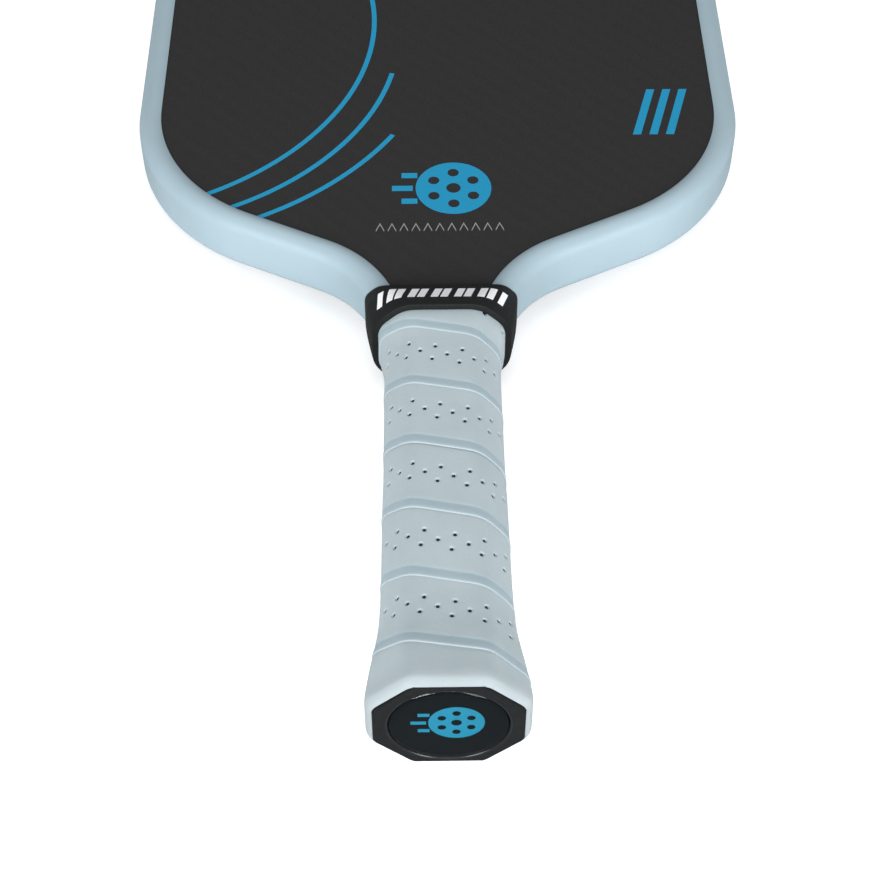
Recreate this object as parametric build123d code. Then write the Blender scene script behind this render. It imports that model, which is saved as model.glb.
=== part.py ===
from build123d import *
from math import asin, atan2, cos, degrees, radians, sin, sqrt
import os

# A foam-core pickleball paddle. It lies flat: X is across the head, +Y runs from the butt to
# the tip, and +Z is the front face's normal. The origin is the centre of the butt cap's end
# face, at mid-thickness. Sizes are in millimetres. Each outline is named from the paddle's
# outer edge, so "inset" is a distance in from the outside of the edge guard.

# Overall
PADDLE_LENGTH = 419.0
PADDLE_WIDTH = 190.5
HANDLE_LENGTH = 142.4  # butt face to the collar's upper edge

# Head outline, on the outside of the edge guard
CROWN_RADIUS = 300.0
CORNER_RADIUS = 60.0
SHOULDER_RADIUS = 61.7
THROAT_RADIUS = 32.25
THROAT_HALF_WIDTH = 18.7
FLARE_ANGLE = 26.5  # slope of the straight between throat and shoulder, above the X axis
THROAT_DROP = 13.1  # narrowest part of the throat, below the collar's upper edge

# Panel: foam core between two laminated skins of three plies
CORE_THICKNESS = 14.5
PLY_THICKNESS = 0.25
PLIES = ("inner_carbon", "glass", "outer_carbon")  # from the core outwards
RING_WIDTH = 9.0
TANG_HALF_WIDTH = 11.0
TANG_START = 6.0
TANG_CORE_RISE = 7.5  # the handle core's top edge, above the collar's upper edge
TANG_FILLET = 3.0
TANG_SHOULDER_FLAT = 0.5  # least flat left beside each fillet

# Edge guard: a U-channel pressed over the panel's rim
GUARD_WALL = 2.0
GUARD_LIP_REACH = 7.25
GUARD_LIP_THICKNESS = 1.3
GUARD_CORNER_RADIUS = 4.4
GUARD_BEVEL_REACH = 2.0
GUARD_BEVEL_DEPTH = 0.9
GUARD_BOND_GAP = 0.05  # adhesive between the rim and the channel's floor
GUARD_END_DROP = 10.0  # the channel's two ends and the panel's shoulders, below the collar's edge

# Handle form under the grip: an octagon at each station, as (side wall, face wall, bevel leg).
# The two stations at the cap's end go round the badge's recess, the others round the tang.
FORM_CORNER_RADIUS = 2.5
BADGE_RECESS_RADIUS = 15.15
CAP_FACE_WALLS = (3.8, 1.5, 9.9)
CAP_CREST_WALLS = (4.0, 1.7, 9.6)
CAP_CREST_Y = 4.0
CAP_FLARE_WALLS = (6.35, 6.9, 8.0)
CAP_FLARE_Y = 16.0
CAP_SKIRT_END_WALLS = (4.55, 5.45, 6.5)
CAP_SKIRT_LENGTH = 28.0
HEEL_WALLS = (4.1, 4.95, 6.0)
HEEL_RISE = 14.0  # heel station above the skirt's end
WAIST_WALLS = (3.65, 4.8, 6.0)
WAIST_DROP = 10.0  # waist station below the collar's lower rim
NECK_DROP = 1.65  # side of the neck, in from the throat's narrowest part
NECK_FACE_WALL = 5.6
NECK_BEVEL = 6.6
GRIP_END_DROP = 1.6  # side of the form where the grip ends, in from the throat's narrowest part
GRIP_END_FACE_WALL = 3.9
GRIP_END_BEVEL = 6.0

# Butt cap and its badge
CAP_SKIRT_WALL = 1.1
CAP_END_THICKNESS = 3.4
BADGE_RECESS_DEPTH = 1.6
BADGE_CLEARANCE = 0.1
BADGE_DISC_THICKNESS = 0.5
DOME_EDGE_THICKNESS = 0.35
DOME_SUNK = 0.1  # top of the dome, below the cap's end face

# Staples that hold the cap on the pallets
STAPLE_CROWN = 8.0
STAPLE_LEG = 4.5
STAPLE_WIRE = 0.7
STAPLE_DROP = 8.0  # middle of the crown, below the skirt's end
STAPLE_RISE = 0.6  # outside of the crown, beyond the skirt's end

# Pallets: two half shells round the tang
PALLET_START = 5.0
TONGUE_CLEARANCE = 0.3
TONGUE_END_DROP = 2.0
TONGUE_TIP_THICKNESS = 1.6

# Grip tape, finishing tape and collar
GRIP_THICKNESS = 1.8
GRIP_EDGE_THICKNESS = 0.6
GRIP_START = 0.4
GRIP_END_GAP = 0.6  # between the grip's end and the guard's ends
FINISH_THICKNESS = 0.15
FINISH_WIDTH = 2.6
COLLAR_WIDTH = 13.8
COLLAR_WALL = 1.6
COLLAR_EDGE_WALL = 0.9  # where the band is stretched over the guard
COLLAR_CLEARANCE = 0.1
COLLAR_EDGE_RISE = 2.0  # inside of the collar's upper edge, above the face
COLLAR_WAIST_GAP = 0.5  # round the guard's ends
COLLAR_WAIST_BEVEL = 6.5
COLLAR_EDGE_BEVEL = 3.2

# Places that follow from the sizes above
THROAT_Y = HANDLE_LENGTH - THROAT_DROP
THROAT_CENTRE_X = THROAT_HALF_WIDTH + THROAT_RADIUS
PANEL_HALF = CORE_THICKNESS / 2 + PLY_THICKNESS * len(PLIES)
PANEL_INSET = GUARD_WALL + GUARD_BOND_GAP
GUARD_HALF = PANEL_HALF + GUARD_LIP_THICKNESS
GUARD_END_Y = HANDLE_LENGTH - GUARD_END_DROP
TANG_CORE_TOP = HANDLE_LENGTH + TANG_CORE_RISE
COLLAR_RIM_Y = HANDLE_LENGTH - COLLAR_WIDTH
GRIP_END_Y = GUARD_END_Y - GRIP_END_GAP
STAPLE_Y = CAP_SKIRT_LENGTH - STAPLE_DROP
FAR = 2 * (PADDLE_LENGTH + PADDLE_WIDTH)  # longer than anything in the paddle


def round_badge(walls):
    """An octagon's (half width, half thickness, bevel leg) round the badge's recess."""
    side, face, leg = walls
    return BADGE_RECESS_RADIUS + side, BADGE_RECESS_RADIUS + face, leg


def round_tang(walls):
    """An octagon's (half width, half thickness, bevel leg) round the tang."""
    side, face, leg = walls
    return TANG_HALF_WIDTH + side, PANEL_HALF + face, leg


CAP_FACE = round_badge(CAP_FACE_WALLS)
CAP_CREST = round_badge(CAP_CREST_WALLS)
CAP_FLARE = round_tang(CAP_FLARE_WALLS)
CAP_SKIRT_END = round_tang(CAP_SKIRT_END_WALLS)
HEEL = round_tang(HEEL_WALLS)
WAIST = round_tang(WAIST_WALLS)
NECK = (THROAT_HALF_WIDTH - NECK_DROP, PANEL_HALF + NECK_FACE_WALL, NECK_BEVEL)
GRIP_END = (THROAT_HALF_WIDTH - GRIP_END_DROP, PANEL_HALF + GRIP_END_FACE_WALL, GRIP_END_BEVEL)


def head_edges(inset, bottom):
    """The head's outline without its bottom edge, from the right end round the tip to the left."""
    flare = radians(FLARE_ANGLE)
    throat = THROAT_RADIUS + inset
    shoulder = SHOULDER_RADIUS - inset
    corner = CORNER_RADIUS - inset
    side = PADDLE_WIDTH / 2 - inset
    shoulder_x = PADDLE_WIDTH / 2 - SHOULDER_RADIUS
    flare_start = (THROAT_CENTRE_X - throat * sin(flare), THROAT_Y + throat * cos(flare))
    flare_end_x = shoulder_x + shoulder * sin(flare)
    flare_rise = (flare_end_x - flare_start[0]) * sin(flare) / cos(flare)
    flare_end = (flare_end_x, flare_start[1] + flare_rise)
    shoulder_y = flare_end[1] + shoulder * cos(flare)
    crown_y = PADDLE_LENGTH - CROWN_RADIUS
    corner_x = PADDLE_WIDTH / 2 - CORNER_RADIUS
    corner_y = crown_y + sqrt((CROWN_RADIUS - CORNER_RADIUS) ** 2 - corner_x**2)
    lean = degrees(atan2(corner_x, corner_y - crown_y))
    cut = degrees(asin((bottom - THROAT_Y) / throat))
    right = [
        CenterArc((THROAT_CENTRE_X, THROAT_Y), throat, 90 + FLARE_ANGLE, 90 - FLARE_ANGLE - cut),
        Line(flare_start, flare_end),
        CenterArc((shoulder_x, shoulder_y), shoulder, FLARE_ANGLE - 90, 90 - FLARE_ANGLE),
        Line((side, shoulder_y), (side, corner_y)),
        CenterArc((corner_x, corner_y), corner, 0, 90 - lean),
    ]
    crown = CenterArc((0, crown_y), CROWN_RADIUS - inset, 90 - lean, 2 * lean)
    left = [mirror(edge, about=Plane.YZ) for edge in reversed(right)]
    return right + [crown] + left


def head_face(inset, bottom):
    """The head's outline as a face, cut straight across at bottom."""
    half = THROAT_CENTRE_X - sqrt((THROAT_RADIUS + inset) ** 2 - (bottom - THROAT_Y) ** 2)
    return make_face(head_edges(inset, bottom) + [Line((-half, bottom), (half, bottom))])


def strip(half_width, low, high):
    """A flat rectangle centred on the Y axis."""
    return Pos(0, (low + high) / 2) * Rectangle(2 * half_width, high - low)


def slab(low_y, high_y, low_z=-FAR, high_z=FAR):
    """A block across the whole width, to cut with."""
    block = Box(FAR, high_y - low_y, high_z - low_z)
    return Pos(0, (low_y + high_y) / 2, (low_z + high_z) / 2) * block


def panel_face():
    """The cut shape of the panel: the head and its tang."""
    face = head_face(PANEL_INSET, GUARD_END_Y)
    face += strip(TANG_HALF_WIDTH, TANG_START, TANG_CORE_TOP)
    roots = [
        v for v in face.vertices()
        if abs(abs(v.X) - TANG_HALF_WIDTH) < 1e-3 and abs(v.Y - GUARD_END_Y) < 1e-3
    ]
    shoulder = guard_half_width(GUARD_END_Y) - PANEL_INSET - TANG_HALF_WIDTH
    return fillet(roots, min(TANG_FILLET, shoulder - TANG_SHOULDER_FLAT))


def between(face, low_z, high_z):
    """A flat shape made solid between two heights."""
    return extrude(Pos(0, 0, low_z) * face, high_z - low_z)


def core(face):
    """A flat shape made as thick as the core."""
    return between(face, -CORE_THICKNESS / 2, CORE_THICKNESS / 2)


def octagon(y, sizes, grow=0.0):
    """An octagon with rounded corners, across the handle at y, offset outwards by grow."""
    half_width, half_height = sizes[0] + grow, sizes[1] + grow
    leg = sizes[2] + grow * (2 - sqrt(2))
    quarter = [(half_width, half_height - leg), (half_width - leg, half_height)]
    upper = quarter + [(-x, z) for x, z in reversed(quarter)]
    corners = upper + [(-x, -z) for x, z in upper]
    face = make_face(Polyline(*corners, close=True))
    face = fillet(face.vertices(), FORM_CORNER_RADIUS + grow)
    return Plane(origin=(0, y, 0), x_dir=(1, 0, 0), z_dir=(0, -1, 0)) * face


def form_stations():
    """The handle's form: (y, sizes under the grip, grip thickness there)."""
    return [
        (GRIP_START, CAP_FACE, GRIP_EDGE_THICKNESS),
        (CAP_CREST_Y, CAP_CREST, GRIP_THICKNESS),
        (CAP_FLARE_Y, CAP_FLARE, GRIP_THICKNESS),
        (CAP_SKIRT_LENGTH, CAP_SKIRT_END, GRIP_THICKNESS),
        (CAP_SKIRT_LENGTH + HEEL_RISE, HEEL, GRIP_THICKNESS),
        (COLLAR_RIM_Y - WAIST_DROP, WAIST, GRIP_THICKNESS),
        (COLLAR_RIM_Y, NECK, GRIP_THICKNESS),
        (GRIP_END_Y, GRIP_END, GRIP_THICKNESS),
    ]


def handle_form(gripped=False, extra=0.0):
    """The whole handle as a solid, bare or with its grip, and grown by extra."""
    sections = []
    for y, sizes, grip in form_stations():
        sections.append(octagon(y, sizes, extra + (grip if gripped else 0.0)))
    return loft(sections, ruled=True)


def socket():
    """The part of the pallets that the butt cap slides over."""
    face = octagon(CAP_END_THICKNESS, CAP_SKIRT_END, -CAP_SKIRT_WALL)
    return extrude(face, CAP_SKIRT_LENGTH - CAP_END_THICKNESS, dir=(0, 1, 0))


def staple(side):
    """A wire staple driven into one side facet of the cap, its crown along Y."""
    crown_x = CAP_SKIRT_END[0] + STAPLE_RISE
    crown = Box(STAPLE_WIRE, STAPLE_CROWN, STAPLE_WIRE)
    shape = Pos(crown_x - STAPLE_WIRE / 2, STAPLE_Y) * crown
    leg = Box(STAPLE_LEG, STAPLE_WIRE, STAPLE_WIRE)
    for end in (-1, 1):
        leg_y = STAPLE_Y + end * (STAPLE_CROWN - STAPLE_WIRE) / 2
        shape += Pos(crown_x - STAPLE_LEG / 2, leg_y) * leg
    return shape if side > 0 else mirror(shape, about=Plane.YZ)


def staple_slot(side):
    """The way that one staple's crown was driven in by."""
    inner = CAP_SKIRT_END[0] + STAPLE_RISE - STAPLE_WIRE
    slot = Box(STAPLE_WIRE + CAP_CREST[0] - inner, STAPLE_CROWN, STAPLE_WIRE)
    slot = Pos((inner + CAP_CREST[0] + STAPLE_WIRE) / 2, STAPLE_Y) * slot
    return slot if side > 0 else mirror(slot, about=Plane.YZ)


def cap_staples():
    return [staple(side) for side in (1, -1)]


def core_foam():
    return core(head_face(PANEL_INSET + RING_WIDTH, TANG_CORE_TOP))


def core_ring():
    ring = head_face(PANEL_INSET, TANG_CORE_TOP) - head_face(PANEL_INSET + RING_WIDTH, TANG_CORE_TOP)
    return core(ring)


def tang_core():
    return core(panel_face() & strip(PADDLE_WIDTH, TANG_START, TANG_CORE_TOP))


def skin_ply(side, number):
    """One ply of the front (side 1) or back (side -1) skin, counted out from the core."""
    inner = CORE_THICKNESS / 2 + number * PLY_THICKNESS
    ply = between(panel_face(), inner, inner + PLY_THICKNESS)
    return ply if side > 0 else mirror(ply, about=Plane.XY)


def edge_guard():
    """A U-channel swept round the head from one side of the throat to the other."""
    path = Wire([piece.edge() for piece in head_edges(0, GUARD_END_Y)])
    upper = [
        (0, GUARD_HALF),
        (GUARD_LIP_REACH - GUARD_BEVEL_REACH, GUARD_HALF),
        (GUARD_LIP_REACH, GUARD_HALF - GUARD_BEVEL_DEPTH),
        (GUARD_LIP_REACH, PANEL_HALF),
        (GUARD_WALL, PANEL_HALF),
    ]
    lower = [(u, -z) for u, z in reversed(upper)]
    profile = make_face(Polyline(*upper, *lower, close=True))
    outer = [v for v in profile.vertices() if abs(v.X) < 1e-6]
    profile = fillet(outer, GUARD_CORNER_RADIUS)
    start = path @ 0
    heading = path % 0
    turn = 1 if start.X < 0 else -1
    inward = heading.cross(Vector(0, 0, turn))
    return sweep(Plane(origin=start, x_dir=inward, z_dir=heading) * profile, path)


def tongue():
    """The pallets' tips that lie on the panel between the guard's lips."""
    half_width = THROAT_HALF_WIDTH - GUARD_LIP_REACH - TONGUE_CLEARANCE
    top = HANDLE_LENGTH - TONGUE_END_DROP
    face = strip(half_width, GRIP_END_Y, top)
    return between(face, 0, GRIP_END[1])


def ramp_cut():
    """What is cut away above the tongue so that it slopes down to its tip."""
    tip_y = HANDLE_LENGTH - TONGUE_END_DROP
    tip_z = PANEL_HALF + TONGUE_TIP_THICKNESS
    corners = [(GRIP_END_Y, GRIP_END[1]), (tip_y, tip_z), (tip_y, FAR), (GRIP_END_Y, FAR)]
    side = Plane(origin=(-FAR / 2, 0, 0), x_dir=(0, 1, 0), z_dir=(1, 0, 0))
    return extrude(side * make_face(Polyline(*corners, close=True)), FAR)


def pallet(side):
    """A half shell of the handle, seated on one face of the panel and round half of the tang."""
    shell = handle_form() & slab(CAP_SKIRT_LENGTH, GRIP_END_Y)
    shell += socket() & slab(PALLET_START, CAP_SKIRT_LENGTH)
    shell = (shell & slab(0, FAR, 0, FAR)) + tongue()
    shell -= ramp_cut()
    shell -= between(panel_face(), -PANEL_HALF, PANEL_HALF)
    for staple_side in (1, -1):
        shell -= staple(staple_side)
    return shell if side > 0 else mirror(shell, about=Plane.XY)


def disc(radius, low_y, high_y):
    """A round disc about the Y axis."""
    plate = Circle(radius)
    return extrude(Plane(origin=(0, low_y, 0), z_dir=(0, 1, 0)) * plate, high_y - low_y)


def butt_cap():
    """The end cap: a thick end plate with a flared skirt, open towards the head."""
    cap = handle_form() & slab(GRIP_START, CAP_SKIRT_LENGTH)
    cap += extrude(octagon(0, CAP_FACE), GRIP_START, dir=(0, 1, 0))
    cap -= socket()
    cap -= disc(BADGE_RECESS_RADIUS, 0, BADGE_RECESS_DEPTH)
    for side in (1, -1):
        cap -= staple(side)
        cap -= staple_slot(side)
    return cap


def badge_disc():
    radius = BADGE_RECESS_RADIUS - BADGE_CLEARANCE
    return disc(radius, BADGE_RECESS_DEPTH - BADGE_DISC_THICKNESS, BADGE_RECESS_DEPTH)


def badge_dome():
    """A poured clear lens on the printed disc, its top just under the cap's end face."""
    radius = BADGE_RECESS_RADIUS - BADGE_CLEARANCE
    base = BADGE_RECESS_DEPTH - BADGE_DISC_THICKNESS
    edge = base - DOME_EDGE_THICKNESS
    height = edge - DOME_SUNK
    ball = (radius**2 + height**2) / (2 * height)
    half_angle = asin(radius / ball) / 2
    mid = (ball * sin(half_angle), DOME_SUNK + ball * (1 - cos(half_angle)))
    outline = [
        ThreePointArc((0, DOME_SUNK), mid, (radius, edge)),
        Polyline((radius, edge), (radius, base), (0, base), (0, DOME_SUNK)),
    ]
    return revolve(make_face(outline), Axis.Y)


def grip_tape():
    """The wound grip as a plain sleeve over the cap's skirt and the pallets."""
    return handle_form(gripped=True) - handle_form()


def finishing_tape():
    """One turn of thin tape that holds the grip's end down, under the collar."""
    band = handle_form(gripped=True, extra=FINISH_THICKNESS) - handle_form(gripped=True)
    return band & slab(GRIP_END_Y - FINISH_WIDTH, GRIP_END_Y)


def guard_half_width(y):
    """Half the width over the guard in the throat at y."""
    return THROAT_CENTRE_X - sqrt(THROAT_RADIUS**2 - (y - THROAT_Y) ** 2)


def collar():
    """A rubber band stretched over the grip's end and the guard's ends."""
    gap = GRIP_THICKNESS + FINISH_THICKNESS + COLLAR_CLEARANCE
    waist_x = guard_half_width(GUARD_END_Y) + COLLAR_WAIST_GAP
    waist = (waist_x, GRIP_END[1] + gap, COLLAR_WAIST_BEVEL)
    edge_x = guard_half_width(HANDLE_LENGTH) + COLLAR_CLEARANCE
    edge = (edge_x, PANEL_HALF + COLLAR_EDGE_RISE, COLLAR_EDGE_BEVEL)
    inside = [
        octagon(COLLAR_RIM_Y, NECK, gap),
        octagon(GUARD_END_Y, waist),
        octagon(HANDLE_LENGTH, edge),
    ]
    outside = [
        octagon(COLLAR_RIM_Y, NECK, gap + COLLAR_WALL),
        octagon(GUARD_END_Y, waist, COLLAR_WALL),
        octagon(HANDLE_LENGTH, edge, COLLAR_EDGE_WALL),
    ]
    return loft(outside, ruled=True) - loft(inside, ruled=True)


def paddle():
    """Every node's name and its solid or solids."""
    nodes = {
        "core_foam": core_foam(),
        "core_ring": core_ring(),
        "tang_core": tang_core(),
        "edge_guard": edge_guard(),
        "front_pallet": pallet(1),
        "back_pallet": pallet(-1),
        "butt_cap": butt_cap(),
        "cap_staples": Compound(children=cap_staples()),
        "badge_disc": badge_disc(),
        "badge_dome": badge_dome(),
        "grip_tape": grip_tape(),
        "finishing_tape": finishing_tape(),
        "collar": collar(),
    }
    for name, side in (("front", 1), ("back", -1)):
        for number, ply in enumerate(PLIES):
            nodes[f"{name}_{ply}"] = skin_ply(side, number)
    return nodes


os.makedirs("parts", exist_ok=True)
for node, shape in paddle().items():
    export_step(shape, f"parts/{node}.step")
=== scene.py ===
from math import atan, atan2, cos, degrees, floor, hypot, pi, radians, sin, sqrt, tan

import bmesh
import bpy
from mathutils import Matrix, Vector


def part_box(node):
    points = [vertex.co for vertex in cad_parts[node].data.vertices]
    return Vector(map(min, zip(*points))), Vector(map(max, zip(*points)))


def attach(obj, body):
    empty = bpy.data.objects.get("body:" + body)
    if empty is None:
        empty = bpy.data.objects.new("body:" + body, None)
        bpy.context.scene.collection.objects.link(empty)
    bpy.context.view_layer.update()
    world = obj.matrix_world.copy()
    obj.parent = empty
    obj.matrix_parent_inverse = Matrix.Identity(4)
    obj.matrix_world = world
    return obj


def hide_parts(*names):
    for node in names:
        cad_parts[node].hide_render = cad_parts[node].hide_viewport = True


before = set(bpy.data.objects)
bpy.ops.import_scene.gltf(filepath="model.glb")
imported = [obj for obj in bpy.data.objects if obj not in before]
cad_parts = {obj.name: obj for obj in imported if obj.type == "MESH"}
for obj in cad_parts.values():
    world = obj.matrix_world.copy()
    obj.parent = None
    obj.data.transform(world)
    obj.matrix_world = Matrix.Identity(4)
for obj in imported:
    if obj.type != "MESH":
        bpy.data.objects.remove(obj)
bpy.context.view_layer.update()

mm = 0.001


def paint(red, green, blue):
    """A colour from its screen values, as a shader takes it."""
    return tuple(((c / 255 + 0.055) / 1.055) ** 2.4 for c in (red, green, blue)) + (1.0,)


def finish(name, colour, roughness, **values):
    """A new material with its even values set on the shader."""
    made = bpy.data.materials.new(name)
    made.use_nodes = True
    shader = made.node_tree.nodes["Principled BSDF"]
    shader.inputs["Base Color"].default_value = colour
    shader.inputs["Roughness"].default_value = roughness
    for socket, value in values.items():
        shader.inputs[socket.replace("_", " ")].default_value = value
    return made


def add_node(made, kind, sockets, **settings):
    """A node in a material; a socket given another node's socket is linked to it."""
    node = made.node_tree.nodes.new("ShaderNode" + kind)
    for setting, value in settings.items():
        setattr(node, setting, value)
    for socket, value in sockets.items():
        if isinstance(value, bpy.types.NodeSocket):
            made.node_tree.links.new(value, node.inputs[socket])
        else:
            node.inputs[socket].default_value = value
    return node


def place_on(made):
    """Where a point lies on the paddle, in metres."""
    return add_node(made, "TexCoord", {}).outputs["Object"]


def reckon(made, operation, first, second=0.0):
    """Arithmetic on two sockets or numbers."""
    return add_node(made, "Math", {0: first, 1: second}, operation=operation).outputs[0]


def between(made, factor, low, high, start=0.3, end=0.7):
    """A colour that runs from low to high as factor runs from start to end."""
    ramp = add_node(made, "ValToRGB", {"Fac": factor})
    ramp.color_ramp.elements[0].position = start
    ramp.color_ramp.elements[1].position = end
    ramp.color_ramp.elements[0].color = low
    ramp.color_ramp.elements[1].color = high
    return ramp.outputs["Color"]


def speckle(made, scale, detail=4.0, roughness=0.5):
    """Even noise over the piece; scale is in grains per metre."""
    values = {"Vector": place_on(made), "Scale": scale, "Detail": detail, "Roughness": roughness}
    return add_node(made, "TexNoise", values).outputs["Fac"]


def cells(made, scale):
    """Rounded cells; scale is in cells per metre."""
    values = {"Vector": place_on(made), "Scale": scale}
    return add_node(made, "TexVoronoi", values).outputs["Distance"]


def relief(made, height, depth, under=None):
    """Raises the surface by height times depth metres; returns the bumped normal."""
    values = {"Height": height, "Distance": depth, "Strength": 1.0}
    if under is not None:
        values["Normal"] = under
    bumped = add_node(made, "Bump", values).outputs["Normal"]
    shader = made.node_tree.nodes["Principled BSDF"]
    made.node_tree.links.new(bumped, shader.inputs["Normal"])
    return bumped


def colour_by(made, colour):
    """Lets a colour that varies over the piece take the place of the even one."""
    shader = made.node_tree.nodes["Principled BSDF"]
    made.node_tree.links.new(colour, shader.inputs["Base Color"])


def roughness_by(made, factor, low, high):
    """Lets the roughness wander between two values."""
    values = {"Value": factor, "From Min": 0.3, "From Max": 0.7, "To Min": low, "To Max": high}
    shader = made.node_tree.nodes["Principled BSDF"]
    spread = add_node(made, "MapRange", values).outputs["Result"]
    made.node_tree.links.new(spread, shader.inputs["Roughness"])


def dress(node, made):
    """Puts a material on a CAD node."""
    node_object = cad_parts[node]
    node_object.data.materials.clear()
    node_object.data.materials.append(made)


def foam(name, light, dark, cells_per_metre):
    """Cut foam: every bubble is a shallow pit, with painted shade darkening its bottom."""
    made = finish(name, light, 0.9)
    bubbles = cells(made, cells_per_metre)
    # Painted shade: the colour darkens towards each bubble's bottom, where the pit is shaded.
    colour_by(made, between(made, bubbles, dark, light, 0.0, 0.5))
    relief(made, bubbles, 0.2 * mm)
    return made


dress("core_foam", foam("centre_foam", paint(236, 233, 222), paint(214, 210, 196), 900))
dress("core_ring", foam("rim_foam", paint(116, 120, 124), paint(82, 86, 90), 1400))
dress("tang_core", foam("handle_foam", paint(224, 214, 186), paint(198, 186, 156), 1100))

# ---------------------------------------------------------------------------------------------
# Skins. Each face is three plies cured on the core: carbon, glass, and an outer carbon ply
# whose peel cloth leaves the fine gritty weave that grips the ball.
CLOTH_PITCH = 0.55 * mm
TOW_PITCH = 2.0 * mm


def threads(made, axis, pitch):
    """Parallel threads, one crest each pitch along an axis."""
    values = {"Vector": place_on(made), "Scale": pi / (10 * pitch)}
    return add_node(made, "TexWave", values, bands_direction=axis).outputs["Fac"]


def twill(made, pitch):
    """1 where the warp lies on top in a two-over-two twill, and 0 where the weft does."""
    parts = add_node(made, "SeparateXYZ", {"Vector": place_on(made)}).outputs
    column = reckon(made, "FLOOR", reckon(made, "DIVIDE", parts["X"], pitch))
    row = reckon(made, "FLOOR", reckon(made, "DIVIDE", parts["Y"], pitch))
    step = reckon(made, "FLOORED_MODULO", reckon(made, "ADD", column, row), 4.0)
    return reckon(made, "LESS_THAN", step, 1.5)


def laminate(name, dark, light, roughness, tow, cloth):
    """Woven cloth in resin: tows below, and the peel cloth's print on top."""
    made = finish(name, dark, roughness, Specular_IOR_Level=0.25)
    over = twill(made, tow)
    grain = speckle(made, 2600, 6.0, 0.7)
    shift = reckon(made, "MULTIPLY_ADD", over, 0.04)
    made.node_tree.links.new(grain, shift.node.inputs[2])
    colour_by(made, between(made, shift, dark, light, 0.35, 0.85))
    weave = reckon(made, "MULTIPLY", threads(made, "X", cloth), threads(made, "Y", cloth))
    under = relief(made, grain, 0.05 * mm)
    relief(made, weave, 0.03 * mm, under)
    roughness_by(made, speckle(made, 400), roughness - 0.06, roughness + 0.06)
    return made


face_carbon = laminate(
    "raw_carbon", paint(36, 36, 37), paint(50, 50, 51), 0.66, TOW_PITCH, CLOTH_PITCH
)
inner_carbon = laminate(
    "buried_carbon", paint(34, 34, 36), paint(48, 48, 50), 0.4, TOW_PITCH, TOW_PITCH
)
glass_cloth = laminate(
    "buried_glass", paint(196, 204, 186), paint(222, 226, 210), 0.35, TOW_PITCH, TOW_PITCH
)
for side in ("front", "back"):
    dress(side + "_inner_carbon", inner_carbon)
    dress(side + "_glass", glass_cloth)
    dress(side + "_outer_carbon", face_carbon)

# ---------------------------------------------------------------------------------------------
# Face print. Screen-printed ink on both faces: three long arcs that sweep in from the rim, a
# ball with flight lines above the throat, a row of small chevrons and a group of slanted bars.
INK = 0.03 * mm
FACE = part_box("front_outer_carbon")[1].z
ARC_WIDTH = 1.6 * mm
ARCS = (  # centre, radius, and the angles where the arc leaves the rim and ends
    ((-115.1 * mm, 269.3 * mm), 94.5 * mm, -64, 8),
    ((-104.6 * mm, 261.9 * mm), 92.0 * mm, -65, -12),
    ((-102.5 * mm, 267.6 * mm), 104.1 * mm, -65, -32),
)
BALL_CENTRE = (4.4 * mm, 187.4 * mm)
BALL_RADIUS = 11.6 * mm
CHEVRON_ROW = 170.1 * mm
CHEVRON_PITCH = 3.6 * mm
CHEVRON_WIDTH = 2.5 * mm
CHEVRON_HEIGHT = 3.8 * mm
CHEVRON_STROKE = 0.75 * mm
BAR_GROUP = (66.5 * mm, 211.5 * mm)
BAR_PITCH = 5.2 * mm
BAR_WIDTH = 2.6 * mm
BAR_HEIGHT = 22 * mm
BAR_SLANT = 6 * mm


def printed(name, outlines, made, turn, thickness=INK):
    """A flat printed shape cut from closed outlines, then turned into place."""
    curve = bpy.data.curves.new(name, "CURVE")
    curve.dimensions = "2D"
    curve.fill_mode = "BOTH"
    curve.extrude = thickness / 2
    for outline in outlines:
        spline = curve.splines.new("POLY")
        spline.points.add(len(outline) - 1)
        for point, (x, y) in zip(spline.points, outline):
            point.co = (x, y, 0, 1)
        spline.use_cyclic_u = True
    flat = bpy.data.objects.new(name, curve)
    mesh = bpy.data.meshes.new_from_object(flat)
    bpy.data.objects.remove(flat)
    bpy.data.curves.remove(curve)
    mesh.transform(turn @ Matrix.Translation((0, 0, thickness / 2)))
    bm = bmesh.new()
    bm.from_mesh(mesh)
    bmesh.ops.remove_doubles(bm, verts=bm.verts, dist=1e-7)
    bmesh.ops.recalc_face_normals(bm, faces=bm.faces)
    bpy.data.meshes.remove(mesh)
    return piece(name, bm, made)


def piece(name, bm, *finishes, smooth=False):
    """Makes a finished mesh a piece of the paddle that rides on its one body."""
    mesh = bpy.data.meshes.new(name)
    bm.to_mesh(mesh)
    bm.free()
    for made in finishes:
        mesh.materials.append(made)
    for polygon in mesh.polygons:
        polygon.use_smooth = smooth
    made_object = bpy.data.objects.new(name, mesh)
    bpy.context.scene.collection.objects.link(made_object)
    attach(made_object, "root")
    return made_object


def circle(centre, radius, points):
    """The outline of a round."""
    angles = [2 * pi * i / points for i in range(points)]
    return [(centre[0] + radius * cos(a), centre[1] + radius * sin(a)) for a in angles]


def arc_stripe(centre, radius, width, start, end, points=72):
    """The outline of a stripe along an arc; the angles are in degrees from +X."""
    angles = [radians(start + (end - start) * i / points) for i in range(points + 1)]
    outer, inner = radius + width / 2, radius - width / 2
    outline = [(centre[0] + outer * cos(a), centre[1] + outer * sin(a)) for a in angles]
    angles.reverse()
    return outline + [(centre[0] + inner * cos(a), centre[1] + inner * sin(a)) for a in angles]


def slanted_bar(x, y, width, height, slant):
    """The outline of a bar whose top is shifted by slant."""
    return [(x, y), (x + width, y), (x + width + slant, y + height), (x + slant, y + height)]


def chevron(x, y, width, height, stroke):
    """One small chevron that points to the tip of the paddle."""
    half = width / 2
    return [
        (x - half, y), (x, y + height - stroke), (x + half, y), (x + half, y + stroke),
        (x, y + height), (x - half, y + stroke),
    ]


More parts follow.
